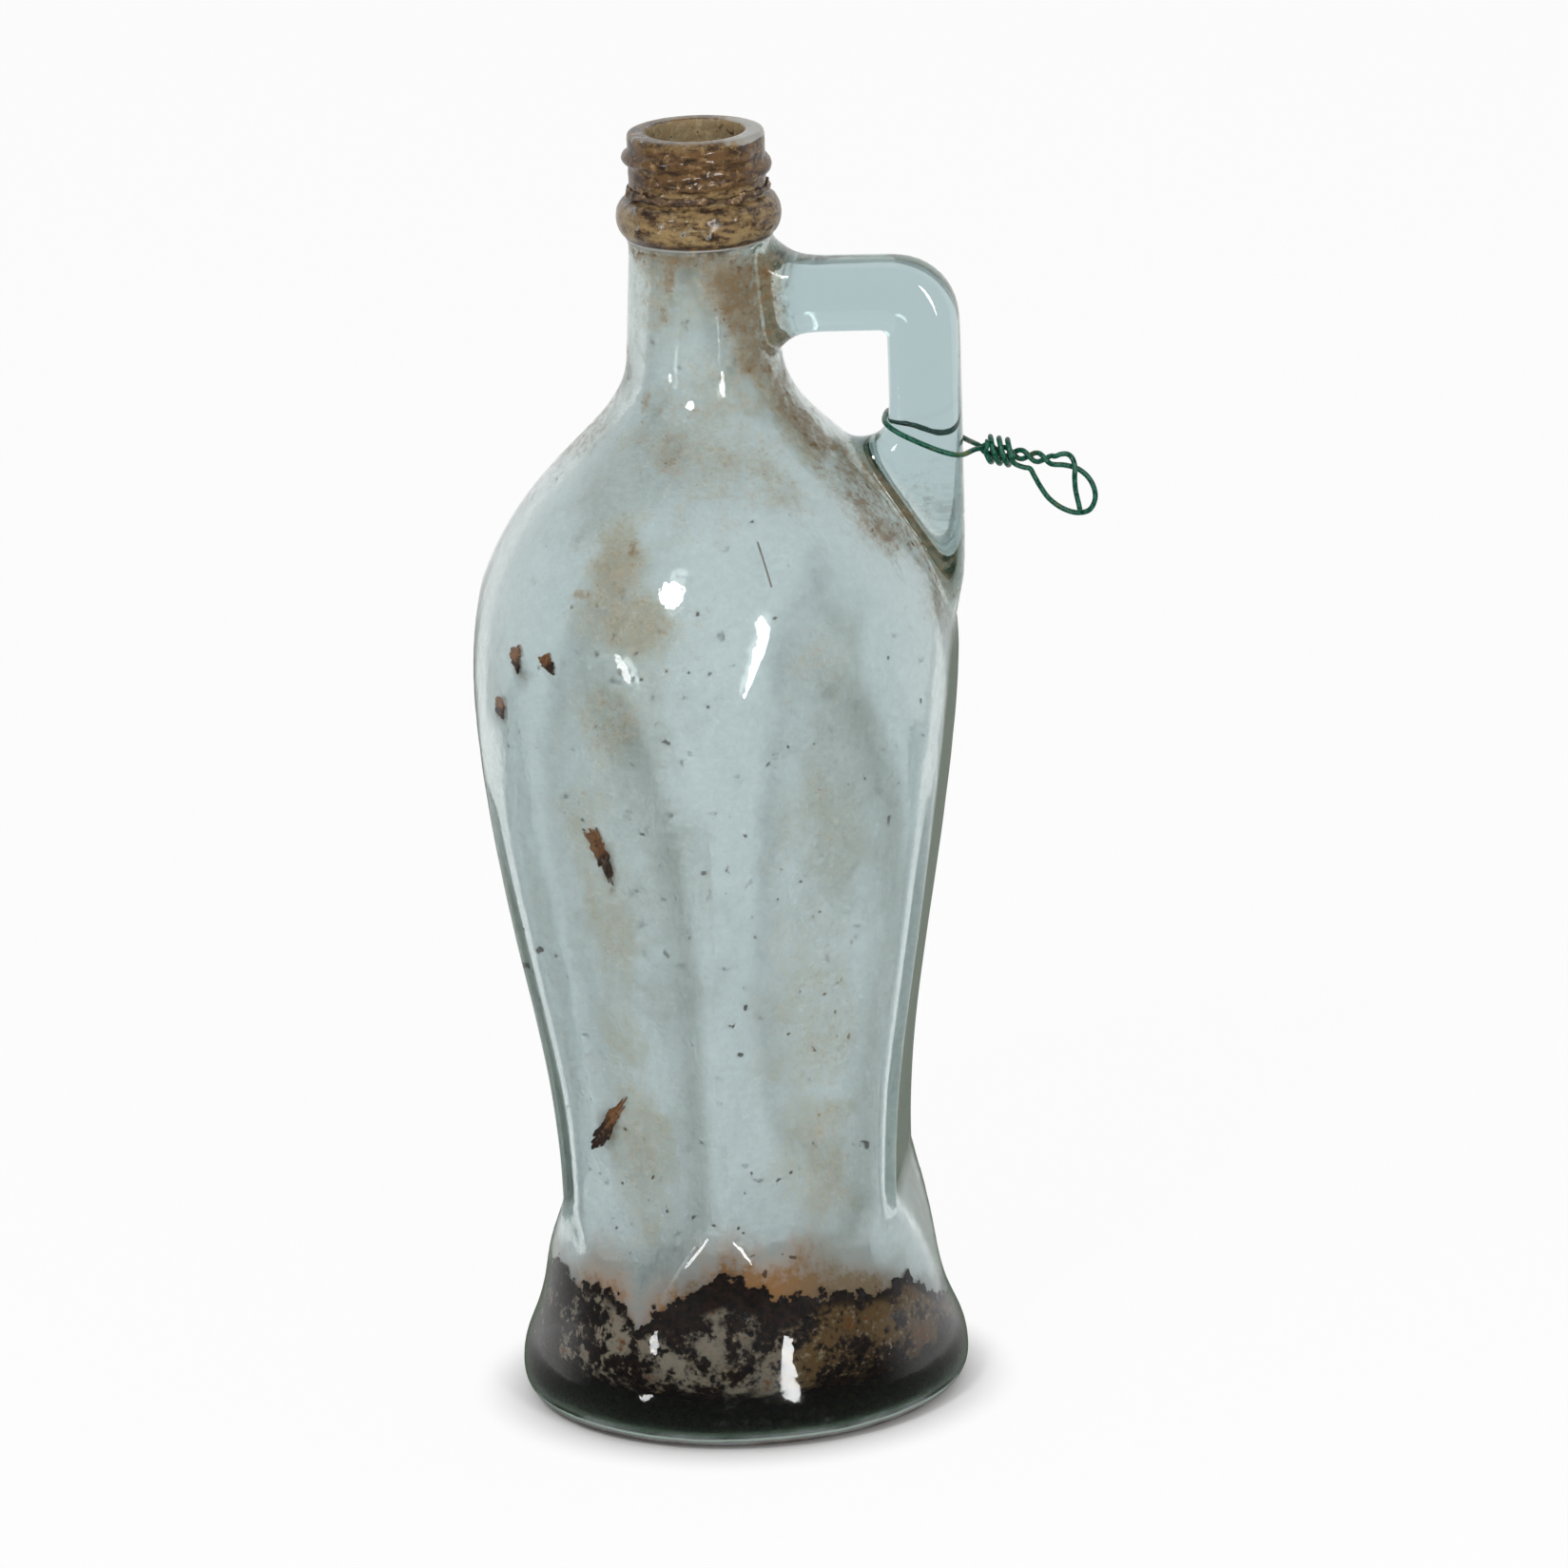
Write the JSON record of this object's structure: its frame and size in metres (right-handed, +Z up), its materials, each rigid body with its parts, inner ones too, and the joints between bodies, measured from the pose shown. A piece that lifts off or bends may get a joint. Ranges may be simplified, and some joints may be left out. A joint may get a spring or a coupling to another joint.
{
  "type": "handled glass bottle",
  "caption": "Empty clear glass bottle with a waisted, flat-panelled body, narrow screw-thread neck, small side handle with a twisted wire tie, and dried residue inside.",
  "frame": {"origin": "middle of the base, on the surface it stands on", "axes": "+Z up along the bottle axis, +X towards the handle"},
  "size_m": [0.1158, 0.0944, 0.2415],
  "materials": {
    "glass": "gloss",
    "wire_coat": "satin",
    "dark_residue": "matte",
    "brown_crust": "matte",
    "rust": "matte"
  },
  "bodies": {
    "bottle": {"glass_body": "glass", "glass_handle": "glass", "base_residue": "dark_residue", "finish_crust": "brown_crust", "rust_flake_1": "rust", "rust_flake_2": "rust", "rust_flake_3": "rust", "rust_flake_4": "rust", "rust_flake_5": "rust"},
    "tie": {"tie_wire": "wire_coat"}
  },
  "joints": [
    {"name": "tie_slide", "type": "slide", "parent": "bottle", "child": "tie", "axis": [0, 0, 1], "range_m": [0, 0.0145]}
  ]
}
